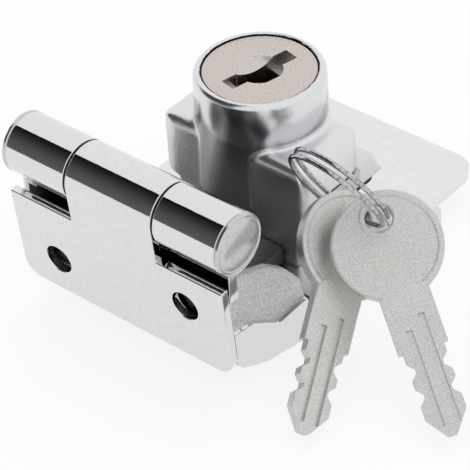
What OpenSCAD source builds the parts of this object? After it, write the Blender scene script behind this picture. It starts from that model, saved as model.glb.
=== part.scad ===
// Lockable clamp hinge for a glass cabinet door, with a key-operated bolt and two keys on a split ring.
// The origin is on the floor under the lock axis, +X runs along the hinge barrel and +Y away from it.

/* [Hinge] */
// Outside diameter of the hinge barrel
barrel_d = 10; // [9:0.5:11]
// Length of the barrel over its three knuckles
barrel_l = 41.4; // [40:0.1:44]
// Length of the middle knuckle
mid_knuckle_l = 17; // [14:0.5:20]
// Thickness of the washer between two knuckles
washer_t = 0.4; // [0.3:0.1:0.8]
// Diameter of the hinge pin
hinge_pin_d = 5; // [4:0.5:6]
// Thickness of the rim under a pin head
head_rim_t = 0.8; // [0.5:0.1:1.2]
// Height of the crown on a pin head
head_crown_h = 0.5; // [0.3:0.1:1]
// Distance of the hinge axis in front of the lock axis
hinge_y = 31; // [30:0.5:34]
// Height of the hinge axis above the floor
hinge_z = 28.7; // [28:0.1:32]
// Thickness of the second leaf, which the foot holds
web_leaf_t = 1.9; // [1.5:0.1:2.2]
// Height above the floor at which the second leaf narrows to its tongue
tongue_top_z = 18.4; // [17:0.1:19.5]
// Height above the floor of the lower end of the tongue
tongue_bottom_z = 9; // [8:0.5:11]
// Width of the tongue
tongue_w = 34; // [28:0.5:35]
// Diameter of a rivet through the tongue
leaf_rivet_d = 4; // [3:0.5:5]
// Distance between the two rivets
leaf_rivet_spacing = 20; // [14:1:24]

/* [Mounting leaf] */
// Width of the mounting leaf
leaf_w = 42.4; // [38:0.2:46]
// Thickness of the mounting leaf
leaf_t = 1.5; // [1.2:0.1:1.6]
// Length of the mounting leaf below the hinge axis
leaf_drop = 23.5; // [21:0.5:24]
// Distance below the hinge axis at which the leaf clears the outer knuckles
leaf_notch_drop = 6.3; // [6:0.1:7]
// Lean of the mounting leaf against the foot, in degrees
leaf_tilt = 5; // [4:0.5:6]
// Radius of the leaf's lower corners
leaf_corner_r = 3; // [1:0.5:4]
// Diameter of a screw hole
leaf_hole_d = 5; // [4:0.1:5.5]
// Distance between the two screw holes along the barrel
leaf_hole_spacing = 26.4; // [24:0.1:30]
// Distance of the left hole below the hinge axis
left_hole_drop = 17; // [15:0.1:18]
// Distance of the right hole below the hinge axis
right_hole_drop = 12.8; // [12:0.1:15]

/* [Foot] */
// Width of the foot casting
foot_w = 42; // [40:0.5:44]
// Distance of the foot's back end behind the lock axis
foot_back_y = 19; // [16:0.5:22]
// How far the smooth lower wall stands proud of the cheek
wall_proud = 1.1; // [0.6:0.1:1.4]
// Thickness of a cheek
cheek_t = 2.1; // [1.8:0.1:2.6]
// Height of the cheek at its front
cheek_top_z = 21.3; // [20:0.1:22]
// Length of the cheek behind the hinge axis
cheek_l = 16.6; // [15:0.1:17]
// Thickness of the front wall behind the tongue
front_wall_t = 2.6; // [2:0.1:3]
// Width of the pillar behind the front wall
pillar_w = 23; // [20:0.5:26]
// Height of the pillar's top above the floor
pillar_top_z = 9.3; // [8:0.1:11]

/* [Jaw plate] */
// Height of the plate's top above the floor
plate_top_z = 6.1; // [5.5:0.1:6.5]
// Thickness of the plate
plate_t = 1.85; // [1.5:0.05:2.2]
// Distance of the plate's back edge behind the lock axis
plate_back_y = 29.2; // [26:0.1:32]
// Distance of the plate's front edge in front of the lock axis
plate_front_y = 13.5; // [12:0.1:13.8]
// Radius of the plate's back corners
plate_corner_r = 4; // [2:0.5:6]
// Diameter of a rivet that holds the plate
plate_rivet_d = 4; // [3:0.5:5]
// Distance of a plate rivet from the middle
plate_rivet_x = 9; // [7:0.5:11]
// Distance of the plate rivets behind the lock axis
plate_rivet_y = 8; // [6:0.5:12]

/* [Housing] */
// Height of the lock's top above the floor
lock_top_z = 33.3; // [32:0.1:35]
// Radius of the round head at its top
head_top_r = 10.45; // [10.3:0.05:11]
// Radius of the round head where it meets the flange
head_foot_r = 10.9; // [10.6:0.05:11.4]
// Rounding of the head's top edge
head_round_r = 0.9; // [0.5:0.1:1.1]
// Distance of the bar's left end from the lock axis
bar_left_x = 14.6; // [13.5:0.1:15]
// Distance of the bar's right end from the lock axis
bar_right_x = 15.8; // [14.5:0.1:16.5]
// Distance of the bar's front wall in front of the lock axis
bar_front_y = 9.4; // [9:0.1:9.8]
// Distance of the bar's back face behind the lock axis
bar_back_y = 6.5; // [6:0.1:7.5]
// Height of the bar's top above the floor
bar_top_z = 24.8; // [24:0.1:26]
// Rounding of the bar's upright edges
bar_edge_r = 4.6; // [3:0.1:5]
// Rounding of the upright edge at the front right
right_edge_r = 1.5; // [1:0.1:3]
// Rounding of the bar's two ends at the top
bar_crown_r = 3.8; // [2.5:0.1:4.2]
// Rounding of the bar's long top edges
bar_round_r = 2; // [1:0.1:2.5]
// Height of the flange's underside above the floor
flange_z = 13.5; // [13:0.1:14]
// Thickness of the flange
flange_t = 2; // [1.6:0.1:2.4]
// Distance of the flange's back edge behind the lock axis
flange_back_y = 11.6; // [11:0.1:13]
// Rounding of the flange's corners
flange_corner_r = 3.5; // [2:0.1:4]
// Height of the back buttress above the floor where it leaves the bar
buttress_top_z = 20.4; // [19:0.1:22]
// How far the flange and the buttress stay inside the bar's ends
flange_inset = 0.6; // [0.4:0.1:1]
// Width of the neck under the front wall, which stands on the jaw plate
neck_w = 20; // [17:0.5:20]
// How far the neck's wall goes on to the right, under the bar's square end
neck_wing = 4; // [0:0.5:4]
// Thickness of the neck
neck_t = 4; // [3.8:0.1:4]
// Diameter of the screws up through the foot and the plate into the neck
neck_screw_d = 2.5; // [2:0.1:2.6]
// Distance between the two neck screws
neck_screw_spacing = 11; // [9:0.5:12]
// Thickness of the rubber pad under the flange
pad_t = 0.8; // [0.5:0.1:1.2]
// Diameter of the grub screws that press on the glass
grub_d = 4; // [3:0.5:5]
// Distance of a grub screw from the middle
grub_x = 8; // [6:0.5:10]
// Distance of the grub screws in front of the lock axis
grub_y = 1; // [-2:0.5:2]

/* [Cylinder plug] */
// Radius of the plug's face
plug_face_r = 9; // [8.6:0.05:9.2]
// Depth of the plug's head
plug_head_h = 3.1; // [2.6:0.1:3.6]
// Radius of the plug's body
plug_body_r = 6.5; // [6.2:0.1:6.8]
// How far the face sits below the rim
face_recess = 0.3; // [0.1:0.1:0.6]
// Direction of the keyway from the barrel's direction, in degrees
keyway_angle = 77; // [70:1:84]
// Length of the keyway in the face
keyway_l = 12.6; // [12:0.1:13.4]
// Width of the keyway in the face
keyway_w = 2.8; // [2.5:0.1:3]
// Diameter of the dimple in the face
dimple_d = 7.4; // [6:0.1:8]
// Depth of the dimple in the face
dimple_h = 1.1; // [0.8:0.1:1.4]
// Depth of the pocket that opens one half of the dimple towards the keyway
pocket_h = 2; // [1.6:0.1:2.4]
// Thickness of a wafer tumbler
wafer_t = 1.1; // [0.9:0.1:1.2]
// Distance between two wafers
wafer_pitch = 2.2; // [2:0.1:2.2]
// Number of wafers
wafer_count = 4; // [3:1:4]
// Length of a wafer
wafer_l = 12; // [11:0.1:12]
// Width of a wafer
wafer_w = 4.4; // [4:0.1:4.6]

/* [Bolt] */
// Width of the bolt
bolt_w = 9; // [8:0.1:9.6]
// Thickness of the bolt
bolt_t = 3.1; // [2.6:0.1:3.2]
// Length of the bolt
bolt_l = 22.6; // [20:0.1:24]
// Distance that the bolt is thrown by a quarter turn of the key
bolt_throw = 4.5; // [4:0.1:4.8]
// Radius of the cam
cam_r = 6.2; // [5.6:0.1:6.3]
// Thickness of the cam's disc
cam_t = 1.6; // [1.4:0.1:1.8]
// Diameter of the cam's drive pin
cam_pin_d = 2.4; // [2:0.1:2.6]
// Thickness of the cover under the bolt
cover_t = 1.1; // [0.9:0.1:1.2]

/* [Keys] */
// Radius of a key's bow
bow_r = 8.5; // [8:0.1:9]
// Thickness of a key
key_t = 1.8; // [1.6:0.1:2]
// Length from the bow's middle to the key's tip
key_l = 30; // [29:0.1:31]
// Distance of the ring hole from the bow's middle
ring_hole_out = 4.4; // [4:0.1:5]
// Diameter of the ring hole
ring_hole_d = 4.2; // [4.1:0.1:4.6]
// Width of the key's neck
key_neck_w = 7.7; // [7:0.1:8.2]
// Width of the key's blade
blade_w = 6.3; // [6:0.1:6.6]
// Depth of a cut in the blade's edge
cut_h = 1; // [0.6:0.1:1.2]
// Diameter of the ring's wire
wire_d = 0.9; // [0.7:0.1:0.9]
// Radius of the ring at the middle of its wire
ring_r = 8.4; // [8.3:0.05:8.5]

/* [Fits] */
// Running clearance all round a shaft in its hole
running_gap = 0.05; // [0.02:0.01:0.1]
// Clearance all round a piece that slides
sliding_gap = 0.1; // [0.05:0.01:0.15]
// Clearance between the mounting leaf and the foot at rest
leaf_gap = 0.3; // [0.25:0.05:0.4]

/* [Hidden] */
$fn = 64;
eps = 0.01;
chrome = "#d7d9db";
satin = "#cdc3be";
nickel = "#c9c8c4";
rubber = "#2b2b2c";
brass = "#b9a15f";

// Hinge, with distances counted from the hinge axis
barrel_r = barrel_d / 2;
hinge_pin_r = hinge_pin_d / 2;
outer_knuckle_l = (barrel_l - mid_knuckle_l) / 2 - washer_t;
web_leaf_back = -0.1;
web_leaf_front = web_leaf_back - web_leaf_t;
web_notch_drop = barrel_r + 0.6;
leaf_rivet_z = (tongue_top_z + tongue_bottom_z) / 2;
leaf_inner = barrel_r - leaf_t;

// Foot: the front face leans with the mounting leaf
function leaf_back_at(z) = (-leaf_inner - (z - hinge_z) * sin(leaf_tilt)) / cos(leaf_tilt);
function foot_front_at(z) = leaf_back_at(z) + leaf_gap;
deck_z = plate_top_z - plate_t;
lip_z = plate_top_z + sliding_gap;
cheek_x = foot_w / 2 - wall_proud;
cheek_inner_x = cheek_x - cheek_t;
front_wall_back = web_leaf_back + front_wall_t;
pillar_back = hinge_y - bar_front_y - sliding_gap;
heel_y = foot_back_y + hinge_y;
heel_run = 0.9;
heel_drop = 1.2;
web_drop = 1;
// Points on the cheek's top edge: distance behind the hinge axis and drop below the front
cheek_curve = [[1.5, 0.4], [8.6, 3.3], [12, 6]];
cheek_end_run = 1.4;
cheek_end_drop = 10;
nose_z = 6.8;
wall_front_z = 12.6;
wall_step = [2.2, 11.9];
wall_dip = [8.5, 7.7];
wall_rise = [15.3, 8];
wall_end = hinge_y - plate_front_y - sliding_gap;
nose_low = [-0.3, 4.6];
nose_mid = [5.4, 1.9];
nose_end = [14.2, 0];

// Lock stack, from the flange up
cover_top_z = flange_z + cover_t;
bolt_z = cover_top_z + sliding_gap;
channel_top_z = bolt_z + bolt_t + sliding_gap;
cam_z = channel_top_z + sliding_gap;
chamber_top_z = cam_z + cam_t + sliding_gap;
plug_face_z = lock_top_z - face_recess;
plug_head_z = plug_face_z - plug_head_h;
plug_bottom_z = cam_z + cam_t;
throw_angle = 90;
cam_pin_out = bolt_throw / (2 * sin(throw_angle / 2));
cam_pin_angle = 135;
bolt_slot_gap = 0.2;
wafer_first_z = plug_bottom_z + 1.4;
wafer_lift = 0.7;
wafer_groove_r = plug_body_r + wafer_lift + 0.4;
window_l = 7;
window_w = 2.4;
ear_out = 1.7;
ear_l = 0.8;
spring_d = 1;
spring_l = 2.4;
cam_screw_d = 3;
cam_screw_head_d = 4.6;
cam_screw_head_h = 0.9;
cover_l = 26;
cover_front_y = bar_front_y - neck_t - sliding_gap;
cover_back_y = 9;
cover_screw_x = 10;
cover_screw_y = 7;
cover_screw_d = 2;
cover_screw_l = 3.4;
neck_screw_y = bar_front_y - neck_t / 2;
neck_screw_head_d = 4.6;
neck_screw_head_h = 2;
neck_screw_end_z = flange_z - 1.4;
pad_front_y = cover_front_y - sliding_gap;
pad_back_y = 10;
grub_tip_h = 0.8;
grub_tip_d = 2.6;

// Keys and ring, where they lie: angles in degrees about X, Y and Z in turn
front_bow = [32.07, -9.91, 19.8];
front_turn = [35.9, -10.4, 52.2];
back_bow = [25.45, -10.93, 17.2];
back_turn = [37, 34.2, 44.9];
ring_centre = [23.405, -10.54, 26.921];
ring_turn = [0, 62.4, 82.9];
ring_phase = -28.0;
ring_gap = 0.45;
ring_pitch = wire_d + ring_gap;
first_cut = 4;
cut_pitch = 3.9;
cut_slope = 1;
cut_flat = 0.8;
tip_l = 3.3;
tip_half_w = 0.7;
key_neck_l = 7.6;
neck_overlap = 1.5;
bow_overlap = 1.2;
groove_h = 0.5;
groove_end = 1.5;
groove_run = 2;
left_groove_x = -1.7;
left_groove_w = 1;
right_groove_x = 0.9;
right_groove_w = 0.9;
ring_turns = 1.9;
ring_steps = 24;
wire_sides = 8;

// Rounded rectangle between two corners
module rounded_rect(low, high, r) {
    for (x = [low[0] + r, high[0] - r], y = [low[1] + r, high[1] - r]) translate([x, y]) circle(r);
    translate([low[0] + r, low[1]]) square([high[0] - low[0] - 2 * r, high[1] - low[1]]);
    translate([low[0], low[1] + r]) square([high[0] - low[0], high[1] - low[1] - 2 * r]);
}

// A side outline, in distances behind the hinge axis and above the floor, made as thick as dx from x
module side_slab(x, dx, outline) {
    translate([x, -hinge_y, 0]) rotate([90, 0, 90]) linear_extrude(dx) polygon(outline);
}

// A round bar along X about the hinge axis
module along_hinge(x, l, r) {
    translate([x, -hinge_y, hinge_z]) rotate([0, 90, 0]) cylinder(r = r, h = l);
}

// Places the screws and rivets that stand at plus and minus x
module both_sides(x, y) {
    for (side = [-1, 1]) translate([side * x, y, 0]) children();
}

// Lower clamp casting: floor, two cheeks, front wall and the pillar for the housing
module base_foot() {
    ledge_z = tongue_bottom_z - sliding_gap;
    web_top_z = cheek_top_z - web_drop;
    web = [[web_leaf_back, tongue_bottom_z], [web_leaf_back, web_top_z], [front_wall_back, web_top_z]];
    sole = [[heel_y - heel_run, deck_z], [heel_y, deck_z - heel_drop], [heel_y, 0],
            nose_end, nose_mid, nose_low, [foot_front_at(nose_z), nose_z]];
    ledge = [[foot_front_at(ledge_z), ledge_z], [web_leaf_back, ledge_z]];
    wall = concat([[foot_front_at(wall_front_z), wall_front_z], wall_step, wall_dip, wall_rise,
                   [wall_end, deck_z]], sole);
    cheek = concat([[foot_front_at(nose_z), nose_z], [foot_front_at(tongue_top_z), tongue_top_z],
                    [web_leaf_back, tongue_top_z], [web_leaf_back, cheek_top_z]],
                   [for (p = cheek_curve) [p[0], cheek_top_z - p[1]]],
                   [[cheek_l - cheek_end_run, cheek_top_z - cheek_end_drop], [cheek_l, deck_z],
                    [nose_mid[0], deck_z]]);
    bed = concat(web, [[front_wall_back, pillar_top_z], [pillar_back, pillar_top_z], [pillar_back, lip_z],
                       [wall_end, lip_z], [wall_end, deck_z]], sole, ledge);
    shallow = concat(web, [[front_wall_back, deck_z]], sole, ledge);
    color(chrome) difference() {
        union() {
            side_slab(-pillar_w / 2, pillar_w, bed);
            side_slab(-cheek_x, 2 * cheek_x, shallow);
            for (side = [0, 1]) mirror([side, 0, 0]) {
                side_slab(cheek_x - eps, wall_proud + eps, wall);
                side_slab(cheek_inner_x, cheek_t, cheek);
                side_slab(cheek_inner_x, cheek_t, wall);
            }
        }
        both_sides(leaf_rivet_spacing / 2, -hinge_y + web_leaf_back - eps) translate([0, 0, leaf_rivet_z])
            rotate([-90, 0, 0]) cylinder(d = leaf_rivet_d + 2 * running_gap, h = front_wall_t + 2 * eps);
        both_sides(plate_rivet_x, plate_rivet_y) translate([0, 0, -eps])
            cylinder(d = plate_rivet_d + 2 * running_gap, h = deck_z + 1);
        both_sides(grub_x, -grub_y) translate([0, 0, -eps])
            cylinder(d = grub_d + 2 * running_gap, h = deck_z + 1);
        both_sides(neck_screw_spacing / 2, -neck_screw_y) {
            translate([0, 0, -eps]) cylinder(d = neck_screw_d + 2 * running_gap, h = deck_z + 1);
            translate([0, 0, -eps])
                cylinder(d = neck_screw_head_d + 2 * running_gap, h = neck_screw_head_h + 0.3);
        }
    }
}

// Flat lower jaw, riveted to the foot
module jaw_plate() {
    half_w = foot_w / 2;
    color(chrome) translate([0, 0, deck_z]) difference() {
        linear_extrude(plate_t) {
            rounded_rect([-half_w, -plate_front_y], [half_w, plate_back_y], plate_corner_r);
            translate([-half_w, -plate_front_y]) square([2 * half_w, 2 * plate_corner_r]);
        }
        both_sides(plate_rivet_x, plate_rivet_y) translate([0, 0, -1])
            cylinder(d = plate_rivet_d + 2 * running_gap, h = plate_t + 2);
        both_sides(grub_x, -grub_y) translate([0, 0, -1])
            cylinder(d = grub_d + 2 * running_gap, h = plate_t + 2);
        both_sides(neck_screw_spacing / 2, -neck_screw_y) translate([0, 0, -1])
            cylinder(d = neck_screw_d + 2 * running_gap, h = plate_t + 2);
    }
}

// Flush rivets through the plate and the foot's floor
module plate_rivets() {
    color(chrome) both_sides(plate_rivet_x, plate_rivet_y) translate([0, 0, 0.2])
        cylinder(d = plate_rivet_d, h = plate_top_z - 0.2);
}

// Second leaf: two outer knuckles and a tongue that the foot holds
module hinge_leaf() {
    color(chrome) difference() {
        union() {
            for (side = [0, 1]) mirror([side, 0, 0]) {
                along_hinge(barrel_l / 2 - outer_knuckle_l, outer_knuckle_l, barrel_r);
                side_slab(barrel_l / 2 - outer_knuckle_l, outer_knuckle_l,
                    [[web_leaf_front, tongue_top_z], [web_leaf_back, tongue_top_z],
                     [web_leaf_back, hinge_z], [web_leaf_front, hinge_z]]);
            }
            side_slab(-barrel_l / 2 + 1, barrel_l - 2,
                [[web_leaf_front, tongue_top_z], [web_leaf_back, tongue_top_z],
                 [web_leaf_back, hinge_z - web_notch_drop], [web_leaf_front, hinge_z - web_notch_drop]]);
            side_slab(-tongue_w / 2, tongue_w,
                [[foot_front_at(tongue_bottom_z), tongue_bottom_z], [web_leaf_back, tongue_bottom_z],
                 [web_leaf_back, tongue_top_z], [web_leaf_front, tongue_top_z],
                 [web_leaf_front, tongue_top_z - 3]]);
        }
        along_hinge(-barrel_l, 2 * barrel_l, hinge_pin_r + running_gap);
        both_sides(leaf_rivet_spacing / 2, -hinge_y - barrel_r) translate([0, 0, leaf_rivet_z])
            rotate([-90, 0, 0]) cylinder(d = leaf_rivet_d + 2 * running_gap, h = barrel_d);
    }
}

// Rivets through the tongue and the foot's front wall
module leaf_rivets() {
    front = foot_front_at(leaf_rivet_z) + 0.15;
    color(chrome) both_sides(leaf_rivet_spacing / 2, -hinge_y) translate([0, front, leaf_rivet_z])
        rotate([-90, 0, 0]) cylinder(d = leaf_rivet_d, h = front_wall_back - front);
}

// Hinge pin with a rim and a low crown at each end, turned in one piece
module hinge_pin() {
    half_l = barrel_l / 2;
    crown_base_r = barrel_r - 0.25;
    crown_r = (crown_base_r * crown_base_r + head_crown_h * head_crown_h) / (2 * head_crown_h);
    crown_angle = asin(crown_base_r / crown_r);
    crown = [for (i = [0:6]) let (a = crown_angle * (1 - i / 6))
        [crown_r * sin(a), half_l + head_rim_t + head_crown_h - crown_r * (1 - cos(a))]];
    right = concat([[hinge_pin_r, half_l], [barrel_r, half_l], [barrel_r, half_l + head_rim_t]], crown);
    left = [for (i = [len(right) - 1:-1:0]) [right[i][0], -right[i][1]]];
    color(chrome) translate([0, -hinge_y, hinge_z]) rotate([0, 90, 0]) rotate_extrude()
        polygon(concat(left, right));
}

// Thin washers between the knuckles
module hinge_washers() {
    color(brass) for (side = [0, 1]) mirror([side, 0, 0]) difference() {
        along_hinge(mid_knuckle_l / 2 + sliding_gap / 2, washer_t - sliding_gap, barrel_r - 0.5);
        along_hinge(0, barrel_l, hinge_pin_r + running_gap);
    }
}

// Mounting leaf: middle knuckle and a flat leaf with two staggered screw holes
module mounting_leaf() {
    half_w = leaf_w / 2;
    color(chrome) translate([0, -hinge_y, hinge_z]) rotate([leaf_tilt, 0, 0]) difference() {
        union() {
            translate([-mid_knuckle_l / 2, 0, 0]) rotate([0, 90, 0])
                cylinder(r = barrel_r, h = mid_knuckle_l);
            translate([0, -leaf_inner, 0]) rotate([90, 0, 0]) linear_extrude(leaf_t) {
                rounded_rect([-half_w, -leaf_drop], [half_w, -leaf_notch_drop], leaf_corner_r);
                translate([-half_w, -leaf_notch_drop - leaf_corner_r]) square([leaf_w, leaf_corner_r]);
                translate([-mid_knuckle_l / 2, -leaf_notch_drop - 1])
                    square([mid_knuckle_l, leaf_notch_drop + 1]);
            }
        }
        rotate([0, 90, 0]) cylinder(r = hinge_pin_r + running_gap, h = leaf_w, center = true);
        translate([-leaf_hole_spacing / 2, 0, -left_hole_drop]) rotate([90, 0, 0])
            cylinder(d = leaf_hole_d, h = barrel_d);
        translate([leaf_hole_spacing / 2, 0, -right_hole_drop]) rotate([90, 0, 0])
            cylinder(d = leaf_hole_d, h = barrel_d);
    }
}

// Outline of the shoulder bar from above: the front right edge is less rounded than the others
module bar_plan() {
    corner = [bar_right_x - right_edge_r, right_edge_r - bar_front_y];
    rounded_rect([-bar_left_x, -bar_front_y], [bar_right_x, bar_back_y], bar_edge_r);
    translate([0, -bar_front_y]) square([corner.x, bar_front_y]);
    translate([0, corner.y]) square([bar_right_x, -corner.y]);
    translate(corner) circle(right_edge_r);
}

// Round head, shoulder bar, buttress, flange and neck, in one casting
module lock_housing() {
    bar_h = bar_top_z - flange_z;
    bar_l = bar_left_x + bar_right_x;
    bar_depth = bar_front_y + bar_back_y;
    flange_right_x = bar_right_x - flange_inset;
    flange_left_x = flange_inset - bar_left_x;
    buttress_back_y = flange_back_y - 0.3;
    buttress_y = 1;
    seam_angle = keyway_angle + 45;
    arc = [for (i = [0:6]) [head_top_r - head_round_r + head_round_r * cos(15 * i),
                            lock_top_z - head_round_r + head_round_r * sin(15 * i)]];
    color(chrome) difference() {
        union() {
            rotate_extrude()
                polygon(concat([[0, flange_z], [head_foot_r, flange_z]], arc, [[0, lock_top_z]]));
            intersection() {
                translate([0, 0, flange_z]) linear_extrude(bar_h) bar_plan();
                translate([-bar_left_x, 0, 0]) rotate([90, 0, 90]) linear_extrude(bar_l)
                    rounded_rect([-bar_front_y, 0], [bar_back_y, bar_top_z], bar_round_r);
                translate([0, bar_back_y, 0]) rotate([90, 0, 0]) linear_extrude(bar_depth)
                    rounded_rect([-bar_left_x, 0], [bar_right_x, bar_top_z], bar_crown_r);
            }
            translate([0, 0, flange_z]) linear_extrude(flange_t)
                rounded_rect([flange_left_x, -bar_back_y], [flange_right_x, flange_back_y], flange_corner_r);
            intersection() {
                translate([flange_left_x, 0, 0]) rotate([90, 0, 90]) linear_extrude(bar_l)
                    polygon([[buttress_y, flange_z], [buttress_back_y, flange_z],
                             [bar_back_y - 0.4, buttress_top_z], [buttress_y, buttress_top_z]]);
                translate([0, flange_back_y, 0]) rotate([90, 0, 0]) linear_extrude(flange_back_y)
                    rounded_rect([flange_left_x, 0], [flange_right_x, buttress_top_z], bar_crown_r);
            }
            translate([-neck_w / 2, sliding_gap - bar_front_y, plate_top_z])
                cube([neck_w + neck_wing, neck_t - sliding_gap, flange_z - plate_top_z + 1]);
        }
        translate([0, 0, plug_head_z - sliding_gap]) rotate([0, 0, seam_angle])
            cylinder(r = plug_face_r + running_gap, h = lock_top_z);
        translate([0, 0, cam_z]) rotate([0, 0, seam_angle])
            cylinder(r = plug_body_r + running_gap, h = lock_top_z);
        translate([0, 0, channel_top_z - eps])
            cylinder(r = cam_r + 2 * sliding_gap, h = chamber_top_z - channel_top_z);
        for (turn = [0, 90]) rotate([0, 0, keyway_angle + turn])
            translate([-wafer_groove_r, -wafer_w / 2 - sliding_gap, plug_bottom_z])
                cube([2 * wafer_groove_r, wafer_w + 2 * sliding_gap,
                      plug_head_z - plug_bottom_z - sliding_gap]);
        translate([bar_right_x - bolt_l - bolt_slot_gap, -bolt_w / 2 - sliding_gap, flange_z - eps])
            cube([bolt_l + bolt_throw, bolt_w + 2 * sliding_gap, channel_top_z - flange_z + eps]);
        translate([-cover_l / 2 - sliding_gap, -cover_front_y - sliding_gap, flange_z - eps])
            cube([cover_l + 2 * sliding_gap, cover_front_y + cover_back_y + 2 * sliding_gap, cover_t + eps]);
        both_sides(cover_screw_x, cover_screw_y) translate([0, 0, flange_z])
            cylinder(d = cover_screw_d + 2 * running_gap, h = cover_screw_l);
        both_sides(neck_screw_spacing / 2, -neck_screw_y) translate([0, 0, plate_top_z - eps])
            cylinder(d = neck_screw_d + 2 * running_gap, h = neck_screw_end_z - plate_top_z + 0.3);
    }
}

// Screws up through the foot and the plate into the neck
module neck_screws() {
    color(nickel) both_sides(neck_screw_spacing / 2, -neck_screw_y) difference() {
        union() {
            translate([0, 0, 0.2]) cylinder(d = neck_screw_head_d, h = neck_screw_head_h);
            translate([0, 0, 0.2]) cylinder(d = neck_screw_d, h = neck_screw_end_z - 0.2);
        }
        translate([-neck_screw_head_d, -0.4, 0]) cube([2 * neck_screw_head_d, 0.8, 1]);
    }
}

// Plate under the flange that carries the bolt
module bolt_cover() {
    color(nickel) translate([0, 0, flange_z]) difference() {
        translate([-cover_l / 2, -cover_front_y, 0]) cube([cover_l, cover_front_y + cover_back_y, cover_t]);
        both_sides(cover_screw_x, cover_screw_y) translate([0, 0, -1])
            cylinder(d = cover_screw_d + 2 * running_gap, h = cover_t + 2);
    }
}

// Small screws that hold the cover
module cover_screws() {
    color(nickel) both_sides(cover_screw_x, cover_screw_y) translate([0, 0, flange_z])
        cylinder(d = cover_screw_d, h = cover_screw_l - 0.2);
}

// Rubber pad between the housing and the glass
module glass_pad() {
    color(rubber) translate([0, 0, flange_z - pad_t]) linear_extrude(pad_t)
        rounded_rect([-bar_left_x + 1, -pad_front_y], [bar_right_x - 1, pad_back_y], 2);
}

// Slotted grub screws up through the floor and the plate
module grub_screws() {
    color(nickel) both_sides(grub_x, -grub_y) difference() {
        translate([0, 0, 0.3]) cylinder(d = grub_d, h = plate_top_z - 0.3);
        translate([-grub_d, -0.4, 0]) cube([2 * grub_d, 0.8, 1.5]);
    }
}

// Nylon tips that press on the glass
module grub_tips() {
    color("#e6e3da") both_sides(grub_x, -grub_y) translate([0, 0, plate_top_z])
        cylinder(d = grub_tip_d, h = grub_tip_h);
}

// Height of the underside of wafer i
function wafer_z(i) = wafer_first_z + i * wafer_pitch;

// Plug with its face, keyway and wafer slots
module cylinder_plug() {
    dimple_r = (dimple_d * dimple_d / 4 + dimple_h * dimple_h) / (2 * dimple_h);
    arm_l = (keyway_l - window_l) / 2;
    color(satin) rotate([0, 0, keyway_angle]) difference() {
        union() {
            translate([0, 0, plug_head_z]) cylinder(r = plug_face_r, h = plug_head_h);
            translate([0, 0, plug_bottom_z]) cylinder(r = plug_body_r, h = plug_head_z - plug_bottom_z + eps);
        }
        translate([0, 0, plug_face_z + dimple_r - dimple_h]) sphere(dimple_r);
        translate([0, 0, plug_face_z - pocket_h]) intersection() {
            cylinder(d = dimple_d, h = plug_head_h);
            translate([-dimple_d, -dimple_d, 0]) cube([2 * dimple_d, dimple_d, plug_head_h]);
        }
        translate([-window_l / 2, -window_w / 2, plug_bottom_z + 1]) cube([window_l, window_w, lock_top_z]);
        for (side = [-1, 1]) translate([side * (window_l + arm_l) / 2, 0, plug_face_z])
            cube([arm_l + 2 * eps, keyway_w, 2 * plug_head_h - 1], center = true);
        for (i = [0:wafer_count - 1]) translate([0, 0, wafer_z(i) - sliding_gap]) {
            translate([-plug_face_r, -wafer_w / 2 - sliding_gap, 0])
                cube([2 * plug_face_r, wafer_w + 2 * sliding_gap, wafer_t + 2 * sliding_gap]);
            translate([ear_out - spring_l - 0.5, 0, 0])
                cube([spring_l + ear_l + wafer_lift + 0.8, wafer_w / 2 + 1.9, wafer_t + 2 * sliding_gap]);
        }
        translate([0, 0, plug_bottom_z - eps]) cylinder(d = cam_screw_d + 2 * running_gap, h = 1.2);
    }
}

// Wafers with a window for the key and an ear for the spring
module wafer_tumblers() {
    color(brass) rotate([0, 0, keyway_angle]) for (i = [0:wafer_count - 1]) translate([0, 0, wafer_z(i)])
        difference() {
            union() {
                translate([-wafer_l / 2, -wafer_w / 2, 0]) cube([wafer_l, wafer_w, wafer_t]);
                translate([ear_out, 0, 0]) cube([ear_l, wafer_w / 2 + 1.6, wafer_t]);
            }
            translate([-window_l / 2, -window_w / 2, -1]) cube([window_l, window_w, wafer_t + 2]);
        }
}

// Springs that push the wafers out, one beside each ear
module wafer_springs() {
    color(nickel) rotate([0, 0, keyway_angle]) for (i = [0:wafer_count - 1])
        translate([ear_out - spring_l - 0.1, wafer_w / 2 + 0.9, wafer_z(i) + wafer_t / 2])
            rotate([0, 90, 0]) cylinder(d = spring_d, h = spring_l);
}

// Disc under the plug with the pin that drives the bolt
module drive_cam() {
    color(nickel) difference() {
        union() {
            translate([0, 0, cam_z]) cylinder(r = cam_r, h = cam_t);
            rotate([0, 0, cam_pin_angle]) translate([cam_pin_out, 0, bolt_z])
                cylinder(d = cam_pin_d, h = cam_z - bolt_z + eps);
        }
        translate([0, 0, cam_z - eps]) cylinder(d = cam_screw_d + 2 * running_gap, h = cam_t + 1);
        translate([0, 0, cam_z - eps])
            cylinder(d = cam_screw_head_d + 2 * running_gap, h = cam_screw_head_h + eps);
    }
}

// Screw that fixes the cam to the plug
module cam_screw() {
    color(nickel) {
        translate([0, 0, cam_z]) cylinder(d = cam_screw_head_d, h = cam_screw_head_h - running_gap);
        translate([0, 0, cam_z]) cylinder(d = cam_screw_d, h = cam_t + 1);
    }
}

// Flat bolt with an open cross slot for the cam's pin, flush with the bar when drawn back
module lock_bolt() {
    slot_x = cam_pin_out * cos(cam_pin_angle);
    slot_w = cam_pin_d + 2 * bolt_slot_gap;
    color(nickel) translate([0, 0, bolt_z]) difference() {
        translate([bar_right_x - bolt_l, -bolt_w / 2, 0]) cube([bolt_l, bolt_w, bolt_t]);
        translate([slot_x - slot_w / 2, 0.3, -1]) cube([slot_w, bolt_w, bolt_t + 2]);
    }
}

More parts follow.
